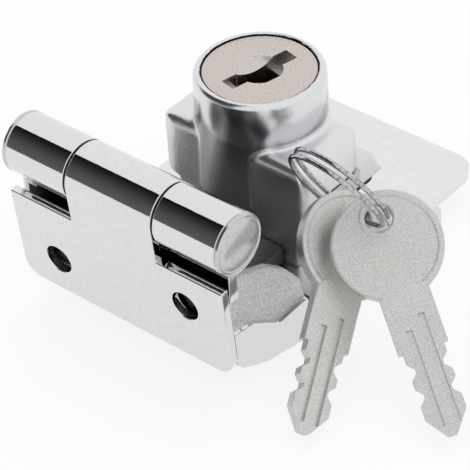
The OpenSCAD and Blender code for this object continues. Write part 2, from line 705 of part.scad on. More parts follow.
// Middle of the ring's wire after a given share of its turns
function wire_at(t) = [ring_r * cos(360 * t), ring_r * sin(360 * t), ring_pitch * (t - ring_turns / 2)];

// Split ring of two turns, one unbroken wire
module key_ring() {
    echo(gap_between_turns = ring_pitch - wire_d);
    rings = ceil(ring_turns * ring_steps);
    points = [for (i = [0:rings])
        let (t = ring_turns * i / rings, p = wire_at(t))
        for (k = [0:wire_sides - 1])
            let (a = 360 * k / wire_sides, out = wire_d / 2 * cos(a))
            [p[0] + out * cos(360 * t), p[1] + out * sin(360 * t), p[2] + wire_d / 2 * sin(a)]];
    sides = [for (i = [0:rings - 1], k = [0:wire_sides - 1])
        let (a = i * wire_sides + k, b = i * wire_sides + (k + 1) % wire_sides)
        each [[a, a + wire_sides, b], [b, a + wire_sides, b + wire_sides]]];
    ends = [for (k = [1:wire_sides - 2]) each [[0, k, k + 1],
        [rings * wire_sides, rings * wire_sides + k + 1, rings * wire_sides + k]]];
    color(chrome) translate(ring_centre) rotate(ring_turn) rotate([0, 0, ring_phase])
        polyhedron(points, concat(sides, ends));
}

// Outline of the blade's right edge from the shoulder to the tip: cuts on a constant pitch
function blade_edge(half_w, top, tip) =
    let (run = top - first_cut - cut_flat - cut_slope - tip - tip_l)
    [[half_w, top],
     for (i = [0:floor(run / cut_pitch)])
         let (y = top - first_cut - cut_pitch * i)
         each [[half_w, y + cut_slope], [half_w - cut_h, y], [half_w - cut_h, y - cut_flat],
               [half_w, y - cut_flat - cut_slope]],
     [half_w, tip + tip_l], [tip_half_w, tip]];

// Flat key: round bow with a ring hole, neck, grooved blade with cuts in both edges
module key_blank() {
    shoulder_y = bow_overlap - bow_r - key_neck_l;
    half_w = blade_w / 2;
    right = blade_edge(half_w, shoulder_y, -key_l);
    left = [for (i = [len(right) - 1:-1:0]) [-right[i][0], right[i][1]]];
    color(nickel) difference() {
        union() {
            translate([0, 0, -key_t / 2]) cylinder(r = bow_r, h = key_t);
            translate([-key_neck_w / 2, shoulder_y - neck_overlap, -key_t / 2])
                cube([key_neck_w, key_neck_l + neck_overlap, key_t]);
            translate([0, 0, -key_t / 2]) linear_extrude(key_t) polygon(concat(right, left));
        }
        translate([0, ring_hole_out, -key_t]) cylinder(d = ring_hole_d, h = 2 * key_t);
        for (face = [0, 1]) mirror([0, 0, face]) {
            translate([left_groove_x, groove_end - key_l, key_t / 2 - groove_h])
                cube([left_groove_w, key_l + shoulder_y, 2 * groove_h]);
            translate([right_groove_x, groove_end - key_l, key_t / 2 - groove_h])
                cube([right_groove_w, key_l + shoulder_y + groove_run, 2 * groove_h]);
        }
    }
}

module key_front() {
    translate(front_bow) rotate(front_turn) key_blank();
}

module key_back() {
    translate(back_bow) rotate(back_turn) key_blank();
}

base_foot();
jaw_plate();
plate_rivets();
hinge_leaf();
leaf_rivets();
hinge_pin();
hinge_washers();
mounting_leaf();
lock_housing();
neck_screws();
bolt_cover();
cover_screws();
glass_pad();
grub_screws();
grub_tips();
cylinder_plug();
wafer_tumblers();
wafer_springs();
drive_cam();
cam_screw();
lock_bolt();
key_ring();
key_front();
key_back();
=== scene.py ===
"""Lockable clamp hinge for a glass cabinet door, with two keys on a split ring, dressed around its solids."""

from math import cos, pi, radians, sin

import bmesh
import bpy
from mathutils import Euler, Matrix, Vector


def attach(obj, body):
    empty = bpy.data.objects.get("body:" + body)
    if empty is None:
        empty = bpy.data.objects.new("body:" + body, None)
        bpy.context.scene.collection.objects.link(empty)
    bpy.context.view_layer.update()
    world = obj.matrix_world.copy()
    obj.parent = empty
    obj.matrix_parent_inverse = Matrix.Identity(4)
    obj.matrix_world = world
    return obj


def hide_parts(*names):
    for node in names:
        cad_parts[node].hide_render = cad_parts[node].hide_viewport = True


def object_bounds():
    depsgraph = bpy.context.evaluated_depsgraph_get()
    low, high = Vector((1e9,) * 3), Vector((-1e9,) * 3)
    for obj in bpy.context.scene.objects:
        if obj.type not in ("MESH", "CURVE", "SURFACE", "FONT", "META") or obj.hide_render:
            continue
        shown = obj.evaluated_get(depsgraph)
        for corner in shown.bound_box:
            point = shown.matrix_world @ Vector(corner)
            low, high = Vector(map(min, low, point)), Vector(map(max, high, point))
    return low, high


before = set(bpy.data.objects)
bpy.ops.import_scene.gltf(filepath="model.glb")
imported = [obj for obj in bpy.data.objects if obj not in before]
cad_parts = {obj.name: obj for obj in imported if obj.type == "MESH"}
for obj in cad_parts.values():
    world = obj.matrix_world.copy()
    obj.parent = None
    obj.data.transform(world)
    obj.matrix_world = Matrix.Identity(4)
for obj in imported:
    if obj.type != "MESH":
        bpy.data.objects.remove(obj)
cad_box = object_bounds()

# The view: a long lens from the front right, above the lock, as small hardware is photographed for a
# catalogue. The lens keeps the edges nearly parallel, and the camera leans a little to one side.
MM = 0.001
view_target = Vector((8.05, -17.02, 15.0)) * MM
view_azimuth, view_elevation, view_roll = radians(42.09), radians(39.02), radians(-3.66)
view_distance = 389 * MM
view_data = bpy.data.cameras.new("catalogue_view")
view_data.lens = 194
view_data.sensor_width = 36
view = bpy.data.objects.new("catalogue_view", view_data)
view_turn = Euler((pi / 2 - view_elevation, 0, view_azimuth)).to_matrix().to_4x4()
view_turn = view_turn @ Matrix.Rotation(view_roll, 4, "Z")
view_place = view_target + view_turn.col[2].to_3d() * view_distance
view.matrix_world = Matrix.Translation(view_place) @ view_turn
bpy.context.scene.collection.objects.link(view)
bpy.context.scene.camera = view
bpy.context.scene.view_settings.view_transform = "Standard"


# The table: a sheet of white paper under the lock. Paper is matt and holds a soft shadow, and a lit sheet
# runs out to plain white, which the eye and the chrome both see.
def linear(hex_colour):
    """An sRGB hex colour as linear red, green, blue and alpha."""
    parts = [int(hex_colour[i:i + 2], 16) / 255 for i in (1, 3, 5)]
    return [p / 12.92 if p <= 0.04045 else ((p + 0.055) / 1.055) ** 2.4 for p in parts] + [1]


def add_node(tree, kind, inputs=None, **settings):
    """One node with its settings, its input values and the sockets that feed it."""
    node = tree.nodes.new(kind)
    for name, value in settings.items():
        setattr(node, name, value)
    for name, value in (inputs or {}).items():
        if isinstance(value, bpy.types.NodeSocket):
            tree.links.new(value, node.inputs[name])
        else:
            node.inputs[name].default_value = value
    return node


def new_material(name):
    """An empty material, with the node tree and the output that its shader goes to."""
    material = bpy.data.materials.new(name)
    material.use_nodes = True
    material.node_tree.nodes.clear()
    return material, material.node_tree, add_node(material.node_tree, "ShaderNodeOutputMaterial")


def seen_rays(tree):
    """One for the rays that reach the eye directly, in a mirror or through glass, and zero for the others."""
    path = add_node(tree, "ShaderNodeLightPath")
    seen = add_node(tree, "ShaderNodeMath", {0: path.outputs["Is Camera Ray"],
                                             1: path.outputs["Is Glossy Ray"]})
    seen_all = add_node(tree, "ShaderNodeMath", {0: seen.outputs[0], 1: path.outputs["Is Transmission Ray"]},
                        use_clamp=True)
    return seen_all.outputs[0]


def new_object(name, bm, material, soft=False):
    """An object at the origin from a finished bmesh.

    It is soft all over, or its flat faces are kept level between its real edges.
    """
    mesh = bpy.data.meshes.new(name)
    bm.to_mesh(mesh)
    bm.free()
    mesh.shade_smooth()
    mesh.materials.append(material)
    piece = bpy.data.objects.new(name, mesh)
    bpy.context.scene.collection.objects.link(piece)
    if not soft:
        real_edge = radians(32)
        mesh.set_sharp_from_angle(angle=real_edge)
        level = piece.modifiers.new("level", "WEIGHTED_NORMAL")
        level.keep_sharp = True
    return piece


paper_half_w, paper_drop, paper_white_share = 1500 * MM, 0.02 * MM, 0.84
paper, tree, output = new_material("white_paper")
share = add_node(tree, "ShaderNodeMath", {0: seen_rays(tree), 1: paper_white_share}, operation="MULTIPLY")
sheet = add_node(tree, "ShaderNodeBsdfDiffuse", {"Color": linear("#F9F9F8")})
lit = add_node(tree, "ShaderNodeEmission", {"Color": linear("#FFFFFF"), "Strength": 1.0})
surface = add_node(tree, "ShaderNodeMixShader", {0: share.outputs[0], 1: sheet.outputs[0], 2: lit.outputs[0]})
tree.links.new(surface.outputs[0], output.inputs["Surface"])
bm = bmesh.new()
bmesh.ops.create_grid(bm, x_segments=1, y_segments=1, size=paper_half_w)
bmesh.ops.translate(bm, verts=bm.verts, vec=(0, 0, cad_box[0][2] - paper_drop))
new_object("table_paper", bm, paper)

# The light: a white room that lights evenly, a softbox behind and above that lays the shadow to the front,
# and a dark board at the front left. Only metal mirrors the board, which draws the dark bands in the chrome.
room_light, room_seen = 0.82, 1.0
room = bpy.data.worlds.new("white_room")
bpy.context.scene.world = room
room.use_nodes = True
tree = room.node_tree
tree.nodes.clear()
ambient = add_node(tree, "ShaderNodeMapRange", {"Value": seen_rays(tree), "To Min": room_light,
                                                "To Max": room_seen})
walls = add_node(tree, "ShaderNodeBackground", {"Color": linear("#FFFFFF"), "Strength": ambient.outputs[0]})
add_node(tree, "ShaderNodeOutputWorld", {"Surface": walls.outputs[0]})

softbox_side, softbox_watts, softbox_place = 0.5, 1.1, Vector((-0.15, 0.25, 0.7))
softbox_data = bpy.data.lights.new("softbox", "AREA")
softbox_data.size = softbox_side
softbox_data.energy = softbox_watts
softbox = bpy.data.objects.new("softbox", softbox_data)
softbox.visible_glossy = False
softbox_turn = softbox_place.to_track_quat("Z", "Y").to_matrix().to_4x4()
softbox.matrix_world = Matrix.Translation(softbox_place) @ softbox_turn
bpy.context.scene.collection.objects.link(softbox)

# Black card, a touch brighter at the foot of its upright side, so that the bands fade at one edge.
board_near_y, board_far_y, board_top_z, board_foot_z = -0.10, -0.60, 0.60, 0.02
board_left_x, board_right_x = -1.5, -0.04
board_foot_glow, board_edge_glow = 0.13, 0.002
board_girth = board_top_z - board_far_y + board_near_y
board_paint, tree, output = new_material("dark_board")
where = add_node(tree, "ShaderNodeTexCoord")
place = add_node(tree, "ShaderNodeSeparateXYZ", {0: where.outputs["Object"]})
along = add_node(tree, "ShaderNodeMath", {0: place.outputs["Y"], 1: place.outputs["Z"]})
fade = add_node(tree, "ShaderNodeMapRange", {"Value": along.outputs[0], "From Min": board_far_y,
                                             "From Max": board_far_y + board_girth,
                                             "To Min": board_foot_glow, "To Max": board_edge_glow})
glow = add_node(tree, "ShaderNodeEmission", {"Color": linear("#FFFFFF"), "Strength": fade.outputs[0]})
tree.links.new(glow.outputs[0], output.inputs["Surface"])
bm = bmesh.new()
edge = [bm.verts.new((board_left_x, y, z)) for y, z in
        ((board_far_y, board_foot_z), (board_far_y, board_top_z), (board_near_y, board_top_z))]
lines = [bm.edges.new(pair) for pair in zip(edge, edge[1:])]
swept = bmesh.ops.extrude_edge_only(bm, edges=lines)["geom"]
bmesh.ops.translate(bm, verts=[v for v in swept if isinstance(v, bmesh.types.BMVert)],
                    vec=(board_right_x - board_left_x, 0, 0))
board = new_object("dark_board", bm, board_paint)
board.visible_camera = board.visible_diffuse = board.visible_shadow = board.visible_transmission = False


# The foot: a zinc die casting under bright chrome. Its cheeks keep the grain of the mould, and the wall below
# is polished. It stands on the table and carries the hinge's second leaf, the jaw plate and the housing.
def merged_bmesh(node):
    """A copy of a solid's triangles, joined at their edges."""
    weld = 0.002 * MM
    bm = bmesh.new()
    bm.from_mesh(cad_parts[node].data)
    bmesh.ops.remove_doubles(bm, verts=bm.verts, dist=weld)
    return bm


def cast_bmesh(node, grain, passes):
    """A solid as it comes from the mould: its skin drawn again at an even grain, with its edges run soft."""
    raw = new_object("raw_" + node, merged_bmesh(node), None, soft=True)
    skin = raw.modifiers.new("skin", "REMESH")
    skin.mode = "VOXEL"
    skin.voxel_size = grain
    soften = raw.modifiers.new("soften", "SMOOTH")
    soften.factor = 0.5
    soften.iterations = passes
    cast = raw.evaluated_get(bpy.context.evaluated_depsgraph_get())
    bm = bmesh.new()
    bm.from_mesh(cast.to_mesh())
    cast.to_mesh_clear()
    bpy.data.objects.remove(raw)
    return bm


def dress(piece, body, material_slot, *nodes):
    """The piece moves with its body and stands for its solids."""
    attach(piece, body)
    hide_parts(*nodes)


# Die-cast zinc under chrome: a mirror where it was polished, and a grey sparkle where the mould's grain
# shows. About the pillar and in the well beside it the colour is painted dark grey, a painted shade for
# the deep shadow there. Each pair of places says where a finish or the painted shade begins and where it
# is full. The grain is drawn coarser than it is, to show.
cast_grain, cast_grain_h, front_wall_y, well_right_x = (v * MM for v in (0.3, 0.22, -29, 17.7))
polish_x, shade_right_x, shade_left_x, well_x, well_z = (
    [v * MM for v in ends] for ends in ((20.3, 20.6), (9.5, 6.5), (-9.5, -5.5), (0, 11.5), (12, 10)))
cast_chrome, tree, output = new_material("chromed_casting")
where = add_node(tree, "ShaderNodeTexCoord")
axes = add_node(tree, "ShaderNodeSeparateXYZ", {0: where.outputs["Object"]})
out_x = add_node(tree, "ShaderNodeMath", {0: axes.outputs["X"]}, operation="ABSOLUTE")
polished = add_node(tree, "ShaderNodeMapRange", {"Value": out_x.outputs[0], "From Min": polish_x[0],
                                                 "From Max": polish_x[1]})
left_of = add_node(tree, "ShaderNodeMapRange", {"Value": axes.outputs["X"], "From Min": shade_right_x[0],
                                                "From Max": shade_right_x[1]})
right_of = add_node(tree, "ShaderNodeMapRange", {"Value": axes.outputs["X"], "From Min": shade_left_x[0],
                                                 "From Max": shade_left_x[1]})
between = add_node(tree, "ShaderNodeMath", {0: left_of.outputs[0], 1: right_of.outputs[0]},
                   operation="MULTIPLY")
behind = add_node(tree, "ShaderNodeMath", {0: axes.outputs["Y"], 1: front_wall_y}, operation="GREATER_THAN")
right = add_node(tree, "ShaderNodeMapRange", {"Value": axes.outputs["X"], "From Min": well_x[0],
                                              "From Max": well_x[1]})
short_of = add_node(tree, "ShaderNodeMath", {0: axes.outputs["X"], 1: well_right_x}, operation="LESS_THAN")
low = add_node(tree, "ShaderNodeMapRange", {"Value": axes.outputs["Z"], "From Min": well_z[0],
                                            "From Max": well_z[1]})
well_low = add_node(tree, "ShaderNodeMath", {0: right.outputs[0], 1: low.outputs[0]}, operation="MULTIPLY")
well = add_node(tree, "ShaderNodeMath", {0: well_low.outputs[0], 1: short_of.outputs[0]},
                operation="MULTIPLY")
painted_shade_zone = add_node(tree, "ShaderNodeMath", {0: between.outputs[0], 1: well.outputs[0]}, operation="MAXIMUM")
painted_shade = add_node(tree, "ShaderNodeMath", {0: painted_shade_zone.outputs[0], 1: behind.outputs[0]}, operation="MULTIPLY")
grain = add_node(tree, "ShaderNodeTexNoise", {"Vector": where.outputs["Object"], "Scale": 1 / cast_grain,
                                              "Detail": 3.0})
grit = add_node(tree, "ShaderNodeMapRange", {"Value": polished.outputs[0], "To Min": 0.8, "To Max": 0.03})
bump = add_node(tree, "ShaderNodeBump", {"Height": grain.outputs["Fac"], "Strength": grit.outputs[0],
                                         "Distance": cast_grain_h})
rough = add_node(tree, "ShaderNodeMapRange", {"Value": polished.outputs[0], "To Min": 0.5, "To Max": 0.12})
fleck = add_node(tree, "ShaderNodeMapRange", {"Value": grain.outputs["Fac"], "From Min": 0.36,
                                              "From Max": 0.6})
fleck_all = add_node(tree, "ShaderNodeMath", {0: fleck.outputs[0], 1: polished.outputs[0]},
                     operation="MAXIMUM")
bright = add_node(tree, "ShaderNodeMix", {"Factor": fleck_all.outputs[0], "A": linear("#BBBCBE"),
                                          "B": linear("#DEDFE0")}, data_type="RGBA")
# Painted shade: the colour turns dark grey about the pillar and in the well behind the front wall.
tone = add_node(tree, "ShaderNodeMix", {"Factor": painted_shade.outputs[0], "A": bright.outputs["Result"],
                                        "B": linear("#5C5D60")}, data_type="RGBA")
metal = add_node(tree, "ShaderNodeBsdfPrincipled", {"Base Color": tone.outputs["Result"], "Metallic": 1.0,
                                                    "Roughness": rough.outputs[0],
                                                    "Normal": bump.outputs[0]})
tree.links.new(metal.outputs[0], output.inputs["Surface"])
foot_skin, foot_passes = 0.3 * MM, 10
foot = new_object("base_foot", cast_bmesh("base_foot", foot_skin, foot_passes), cast_chrome, soft=True)
dress(foot, "clamp", "cast_chrome", "base_foot")


# The jaw plate: a pressed steel plate with its edges broken, under chrome that is left a little soft. It is
# the lower jaw for the glass, and two rivets hold it to the foot.
plate_rounding, ripple_w, ripple_h = 0.3 * MM, 0.9 * MM, 0.1 * MM


def plated(name, colour, shade, roughness, ripple_share, grain_w=ripple_w):
    """Plated metal in two close shades, with the ripple of plating that was not buffed flat.

    The ripple is drawn coarser than it is, so that it shows.
    """
    material, tree, output = new_material(name)
    where = add_node(tree, "ShaderNodeTexCoord")
    ripple = add_node(tree, "ShaderNodeTexNoise", {"Vector": where.outputs["Object"], "Scale": 1 / grain_w,
                                                   "Detail": 1.0})
    bump = add_node(tree, "ShaderNodeBump", {"Height": ripple.outputs["Fac"], "Strength": ripple_share,
                                             "Distance": ripple_h})
    spread = add_node(tree, "ShaderNodeMapRange", {"Value": ripple.outputs["Fac"], "From Min": 0.35,
                                                   "From Max": 0.6})
    tone = add_node(tree, "ShaderNodeMix", {"Factor": spread.outputs[0], "A": linear(shade),
                                            "B": linear(colour)}, data_type="RGBA")
    metal = add_node(tree, "ShaderNodeBsdfPrincipled", {"Base Color": tone.outputs["Result"], "Metallic": 1.0,
                                                        "Roughness": roughness, "Normal": bump.outputs[0]})
    tree.links.new(metal.outputs[0], output.inputs["Surface"])
    return material


def edged_bmesh(node, rounding, spared=None):
    """A copy of a solid with its flat faces joined and its sharp edges rounded.

    An edge stays sharp where spared says so of the place of one of its ends.
    """
    same_face, sharp_edge = radians(0.6), radians(30)
    bm = merged_bmesh(node)
    bmesh.ops.dissolve_limit(bm, angle_limit=same_face, verts=bm.verts, edges=bm.edges)
    sharp = [e for e in bm.edges if e.is_manifold and e.calc_face_angle() > sharp_edge]
    if spared:
        sharp = [e for e in sharp if not any(spared(v.co) for v in e.verts)]
    bmesh.ops.bevel(bm, geom=sharp, offset=rounding, offset_type="OFFSET", segments=3, profile=0.5,
                    affect="EDGES", material=-1, clamp_overlap=True)
    return bm


# Chromed steel, buffed to a mirror on the leaves and the rivets. On the plate it is softer and looks paler.
bright_steel = plated("chromed_steel", "#DFE0E1", "#DBDCDD", 0.06, 0.06)
pale_plate = plated("chromed_plate", "#E7E7E8", "#E3E3E4", 0.16, 0.08)
plate = new_object("jaw_plate", edged_bmesh("jaw_plate", plate_rounding), pale_plate)
dress(plate, "clamp", "chrome", "jaw_plate")

# The hinge: rolled steel leaves under chrome, with two outer knuckles on the foot's leaf and the middle one
# on the mounting leaf. A turned pin with a rim and a crown at each end holds them together.
hinge_y, hinge_z, leaf_rounding = -31.0 * MM, 28.7 * MM, 0.35 * MM

# Chromed steel on the knuckles, a mirror. The tongue below lies under the mounting leaf, and its colour is
# painted nearly black there, a painted shade for the shadow behind the leaf.
tongue_top_z, tongue_half_w = 22.6 * MM, 19.5 * MM
tongue_shaded_steel, tree, output = new_material("steel_with_painted_shade")
where = add_node(tree, "ShaderNodeTexCoord")
axes = add_node(tree, "ShaderNodeSeparateXYZ", {0: where.outputs["Object"]})
out_x = add_node(tree, "ShaderNodeMath", {0: axes.outputs["X"]}, operation="ABSOLUTE")
below = add_node(tree, "ShaderNodeMath", {0: axes.outputs["Z"], 1: tongue_top_z}, operation="LESS_THAN")
short_of = add_node(tree, "ShaderNodeMath", {0: out_x.outputs[0], 1: tongue_half_w}, operation="LESS_THAN")
tongue_shade = add_node(tree, "ShaderNodeMath", {0: below.outputs[0], 1: short_of.outputs[0]},
                   operation="MULTIPLY")
ripple = add_node(tree, "ShaderNodeTexNoise", {"Vector": where.outputs["Object"], "Scale": 1 / ripple_w})
bump = add_node(tree, "ShaderNodeBump", {"Height": ripple.outputs["Fac"], "Strength": 0.06,
                                         "Distance": ripple_h})
# Painted shade: the tongue below the leaf is coloured nearly black.
tone = add_node(tree, "ShaderNodeMix", {"Factor": tongue_shade.outputs[0], "A": linear("#DDDEDF"),
                                        "B": linear("#2B2B2C")}, data_type="RGBA")
rough = add_node(tree, "ShaderNodeMapRange", {"Value": tongue_shade.outputs[0], "To Min": 0.06, "To Max": 0.4})
metal = add_node(tree, "ShaderNodeBsdfPrincipled", {"Base Color": tone.outputs["Result"], "Metallic": 1.0,
                                                    "Roughness": rough.outputs[0],
                                                    "Normal": bump.outputs[0]})
tree.links.new(metal.outputs[0], output.inputs["Surface"])
knuckle = new_object("hinge_leaf", edged_bmesh("hinge_leaf", leaf_rounding), tongue_shaded_steel)
dress(knuckle, "clamp", "chrome", "hinge_leaf")

# The pin's outline runs along its shank, around the rim, in millimetres inward from the barrel's radius and
# outward from its end, and over the crown to the middle.
pin_r, barrel_r, barrel_half_l = 2.5 * MM, 5.0 * MM, 20.7 * MM
rim_outline = ((0.2, 0), (0, 0.2), (0, 0.55), (0.1, 0.73), (0.3, 0.8), (0.5, 0.68))
crown_r, crown_foot, crown_h, crown_steps = 4.4 * MM, 0.7 * MM, 0.6 * MM, 10
pin_steps, pin_weld = 96, 0.005 * MM
pin_outline = [(pin_r, 0), (pin_r, barrel_half_l)]
pin_outline += [(barrel_r - inward * MM, barrel_half_l + outward * MM) for inward, outward in rim_outline]
pin_outline += [(crown_r * cos(a), barrel_half_l + crown_foot + crown_h * sin(a))
                for a in [pi / 2 * i / crown_steps for i in range(crown_steps + 1)]]
bm = bmesh.new()
for side in (-1, 1):
    points = [bm.verts.new((side * x, 0, r)) for r, x in pin_outline]
    lines = [bm.edges.new(pair) for pair in zip(points, points[1:])]
    bmesh.ops.spin(bm, geom=points + lines, cent=(0, 0, 0), axis=(1, 0, 0), angle=2 * pi, steps=pin_steps,
                   use_merge=True)
bmesh.ops.remove_doubles(bm, verts=bm.verts, dist=pin_weld)
bmesh.ops.recalc_face_normals(bm, faces=bm.faces)
bmesh.ops.translate(bm, verts=bm.verts, vec=(0, hinge_y, hinge_z))
# Bare steel, burnished as the ends are peened, so it is softer and a little darker than the chrome.
burnished = plated("burnished_steel", "#CCCCCD", "#C6C6C8", 0.2, 0.1)
pin = new_object("hinge_pin", bm, burnished)
dress(pin, "clamp", "chrome", "hinge_pin")
leaf = new_object("mounting_leaf", edged_bmesh("mounting_leaf", leaf_rounding), bright_steel)
dress(leaf, "leaf", "chrome", "mounting_leaf")


# The housing: another chromed zinc casting, that holds the plug and the bolt. Its round head is turned, the
# shoulder bar below keeps the soft edges of the mould, and two screws hold its neck to the foot.
def spun_band(bm, place, outline):
    """A raised band around an upright axis, spun from its outline of radius and height."""
    band_steps = 96
    ends = [bm.verts.new((radius, 0, height)) for radius, height in outline]
    lines = [bm.edges.new(pair) for pair in zip(ends, ends[1:] + ends[:1])]
    before = set(bm.verts) - set(ends)
    bmesh.ops.spin(bm, geom=ends + lines, cent=(0, 0, 0), axis=(0, 0, 1), angle=2 * pi, steps=band_steps,
                   use_merge=True)
    made = [v for v in bm.verts if v not in before]
    bmesh.ops.recalc_face_normals(bm, faces=list({f for v in made for f in v.link_faces}))
    bmesh.ops.transform(bm, matrix=place, verts=made)


# Die-cast zinc under chrome: buffed on the head, where it mirrors softly, and grainy and dull lower down. The
# gap around the plug is painted near black, a painted shade for the deep gap. The grain is drawn coarser than
# it is, so that it shows.
zinc_grain, zinc_grain_h, buffed_z, grainy_z = (v * MM for v in (0.38, 0.16, 27, 19))
bore_edge_r, bore_edge_z = 9.4 * MM, 33.2 * MM
cast_bright, tree, output = new_material("chromed_zinc")
where = add_node(tree, "ShaderNodeTexCoord")
axes = add_node(tree, "ShaderNodeSeparateXYZ", {0: where.outputs["Object"]})
low = add_node(tree, "ShaderNodeMapRange", {"Value": axes.outputs["Z"], "From Min": buffed_z,
                                            "From Max": grainy_z})
grain = add_node(tree, "ShaderNodeTexNoise", {"Vector": where.outputs["Object"], "Scale": 1 / zinc_grain,
                                              "Detail": 2.0})
grit = add_node(tree, "ShaderNodeMapRange", {"Value": low.outputs[0], "To Min": 0.1, "To Max": 0.5})
bump = add_node(tree, "ShaderNodeBump", {"Height": grain.outputs["Fac"], "Strength": grit.outputs[0],
                                         "Distance": zinc_grain_h})
rough = add_node(tree, "ShaderNodeMapRange", {"Value": low.outputs[0], "To Min": 0.22, "To Max": 0.48})
flat = add_node(tree, "ShaderNodeVectorMath", {0: where.outputs["Object"], 1: (1, 1, 0)},
                operation="MULTIPLY")
out = add_node(tree, "ShaderNodeVectorMath", {0: flat.outputs[0]}, operation="LENGTH")
near = add_node(tree, "ShaderNodeMath", {0: out.outputs["Value"], 1: bore_edge_r}, operation="LESS_THAN")
under = add_node(tree, "ShaderNodeMath", {0: axes.outputs["Z"], 1: bore_edge_z}, operation="LESS_THAN")
high = add_node(tree, "ShaderNodeMath", {0: axes.outputs["Z"], 1: buffed_z}, operation="GREATER_THAN")
ring_gap = add_node(tree, "ShaderNodeMath", {0: near.outputs[0], 1: under.outputs[0]}, operation="MULTIPLY")
gap_painted_shade = add_node(tree, "ShaderNodeMath", {0: ring_gap.outputs[0], 1: high.outputs[0]}, operation="MULTIPLY")
# Painted shade: the narrow gap around the plug is coloured near black.
tone = add_node(tree, "ShaderNodeMix", {"Factor": gap_painted_shade.outputs[0], "A": linear("#DEDFE1"),
                                        "B": linear("#1C1C1D")}, data_type="RGBA")
metal = add_node(tree, "ShaderNodeBsdfPrincipled", {"Base Color": tone.outputs["Result"], "Metallic": 1.0,
                                                    "Roughness": rough.outputs[0],
                                                    "Normal": bump.outputs[0]})
tree.links.new(metal.outputs[0], output.inputs["Surface"])

# The head's outline runs up the bore, out to the plug's seat, over the rounded rim and down the outside.
bore_r, bore_foot_z, seat_r, seat_z = (v * MM for v in (8.2, 18.2, 9.05, 29.8))
seat_flare, seat_flare_h, seat_bevel = 0.3 * MM, 1.0 * MM, 0.1 * MM
head_foot_r, head_foot_z, head_top_r, head_top_z = (v * MM for v in (10.9, 13.6, 10.45, 33.3))
head_round, head_round_steps = 0.9 * MM, 9
seat_top_r = seat_r + seat_flare
head_outline = [(bore_r, bore_foot_z), (bore_r, seat_z), (seat_r, seat_z),
                (seat_top_r, seat_z + seat_flare_h), (seat_top_r, head_top_z - seat_bevel),
                (seat_top_r + seat_bevel, head_top_z)]
head_outline += [(head_top_r - head_round * (1 - sin(a)), head_top_z - head_round * (1 - cos(a)))
                 for a in [pi / 2 * i / head_round_steps for i in range(head_round_steps + 1)]]
head_outline += [(head_foot_r, head_foot_z)]
housing_skin, housing_passes = 0.25 * MM, 22
bm = cast_bmesh("lock_housing", housing_skin, housing_passes)
spun_band(bm, Matrix(), head_outline)
housing = new_object("lock_housing", bm, cast_bright, soft=True)
dress(housing, "clamp", "chrome", "lock_housing")

# The plug: sintered nickel steel, that turns in the housing. Its face has a pressed dimple that leads the key
# into the slot.
plug_face_z, plug_rounding = 33.0 * MM, 0.12 * MM

# Sintered nickel steel: a warm, fine speckle on the face, and smoother where the dimple was pressed. The
# grain is drawn coarser than it is, so that it shows.
nickel_grain, nickel_grain_h, dimple_edge, dimple_depth = (v * MM for v in (0.2, 0.05, 0.02, 0.3))
satin_nickel, tree, output = new_material("satin_nickel")
where = add_node(tree, "ShaderNodeTexCoord")
speck = add_node(tree, "ShaderNodeTexNoise", {"Vector": where.outputs["Object"], "Scale": 1 / nickel_grain,
                                              "Detail": 2.0})
spread = add_node(tree, "ShaderNodeMapRange", {"Value": speck.outputs["Fac"], "From Min": 0.35,
                                               "From Max": 0.65})
tone = add_node(tree, "ShaderNodeMix", {"Factor": spread.outputs[0], "A": linear("#B0A6A2"),
                                        "B": linear("#EAE2DD")}, data_type="RGBA")
bump = add_node(tree, "ShaderNodeBump", {"Height": speck.outputs["Fac"], "Strength": 0.35,
                                         "Distance": nickel_grain_h})
axes = add_node(tree, "ShaderNodeSeparateXYZ", {0: where.outputs["Object"]})
sunk = add_node(tree, "ShaderNodeMapRange", {"Value": axes.outputs["Z"],
                                             "From Min": plug_face_z - dimple_edge,
                                             "From Max": plug_face_z - dimple_depth})
rough = add_node(tree, "ShaderNodeMapRange", {"Value": sunk.outputs[0], "To Min": 0.42, "To Max": 0.24})
pressed = add_node(tree, "ShaderNodeMix", {"Factor": sunk.outputs[0], "A": tone.outputs["Result"],
                                           "B": linear("#CBC7C4")}, data_type="RGBA")
metal = add_node(tree, "ShaderNodeBsdfPrincipled", {"Base Color": pressed.outputs["Result"], "Metallic": 1.0,
                                                    "Roughness": rough.outputs[0],
                                                    "Normal": bump.outputs[0]})
tree.links.new(metal.outputs[0], output.inputs["Surface"])
plug = new_object("cylinder_plug", edged_bmesh("cylinder_plug", plug_rounding), satin_nickel)
dress(plug, "plug", "satin", "cylinder_plug")

# The ring: nearly two turns of plated spring wire, wound with a little room between the turns. It hangs
# loose beside the housing and runs through both keys.
wire_r, wire_grain, coil_r, coil_pitch = (v * MM for v in (0.41, 0.5, 8.4, 1.35))
coil_turns, coil_steps, wire_sides = 1.9, 200, 16
coil_middle, coil_lean, coil_heading, wire_end = (23.405, -10.54, 26.921), 62.4, 82.9, -28
coil_place = Matrix.Translation(Vector(coil_middle) * MM)
coil_turn = Euler((0, radians(coil_lean), radians(coil_heading))).to_matrix().to_4x4()
coil_turn = coil_turn @ Matrix.Rotation(radians(wire_end), 4, "Z")
bm = bmesh.new()
wire = bmesh.ops.create_circle(bm, segments=wire_sides, radius=wire_r,
                               matrix=Matrix.Rotation(pi / 2, 4, "X"))["verts"]
bmesh.ops.translate(bm, verts=wire, vec=(coil_r, 0, -coil_pitch * coil_turns / 2))
bmesh.ops.spin(bm, geom=wire + bm.edges[:], cent=(0, 0, 0), axis=(0, 0, 1), angle=2 * pi * coil_turns,
               steps=coil_steps, dvec=(0, 0, coil_pitch * coil_turns / coil_steps))
bmesh.ops.holes_fill(bm, edges=[e for e in bm.edges if e.is_boundary])
bmesh.ops.recalc_face_normals(bm, faces=bm.faces)
bmesh.ops.transform(bm, matrix=coil_place @ coil_turn, verts=bm.verts)
